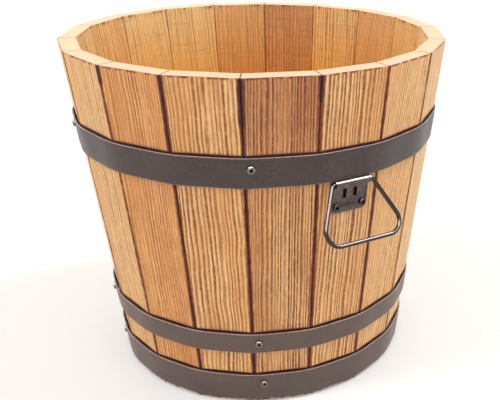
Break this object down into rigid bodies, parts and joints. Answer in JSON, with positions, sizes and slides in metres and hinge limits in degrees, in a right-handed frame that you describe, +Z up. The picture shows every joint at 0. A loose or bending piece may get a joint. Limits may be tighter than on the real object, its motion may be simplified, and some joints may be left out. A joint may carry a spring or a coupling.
{
  "type": "wooden planter tub",
  "caption": "Round tapered wooden planter tub built from staves, held by dark steel hoops, with a boarded bottom and swinging bail handles.",
  "frame": {"origin": "middle of the foot, level with the ends of the staves", "axes": "+Z up the tub's axis; the two handles face -Y and +Y"},
  "size_m": [0.449, 0.4872, 0.396],
  "materials": {
    "staves": "planed softwood, clear oil, open grain",
    "boards": "sawn softwood",
    "hoops": "satin dark brown-grey paint on steel strip",
    "screws": "blackened steel, worn bright on the heads",
    "handles": "gloss black enamel on steel"
  },
  "bodies": {
    "tub": {"stave_01": "staves", "stave_02": "staves", "stave_03": "staves", "stave_04": "staves", "stave_05": "staves", "stave_06": "staves", "stave_07": "staves", "stave_08": "staves", "stave_09": "staves", "stave_10": "staves", "stave_11": "staves", "stave_12": "staves", "stave_13": "staves", "stave_14": "staves", "stave_15": "staves", "stave_16": "staves", "stave_17": "staves", "stave_18": "staves", "bottom_board_1": "boards", "bottom_board_2": "boards", "bottom_board_3": "boards", "bottom_board_4": "boards", "hoop_top": "hoops", "hoop_lower": "hoops", "hoop_bottom": "hoops", "hoop_rivets": "hoops", "hoop_top_screws": "screws", "hoop_lower_screws": "screws", "hoop_bottom_screws": "screws", "handle_plate_front": "handles", "handle_screws_front": "screws", "handle_plate_back": "handles", "handle_screws_back": "screws"},
    "front_bail": {"handle_bail_front": "handles"},
    "back_bail": {"handle_bail_back": "handles"}
  },
  "joints": [
    {"name": "front_bail_swing", "type": "hinge", "parent": "tub", "child": "front_bail", "pos_m": [0.0034, -0.21179, 0.27645], "axis": [-1, 0, 0], "range_deg": [-34, 115]},
    {"name": "back_bail_swing", "type": "hinge", "parent": "tub", "child": "back_bail", "pos_m": [-0.0034, 0.21179, 0.27645], "axis": [1, 0, 0], "range_deg": [-34, 115]}
  ]
}
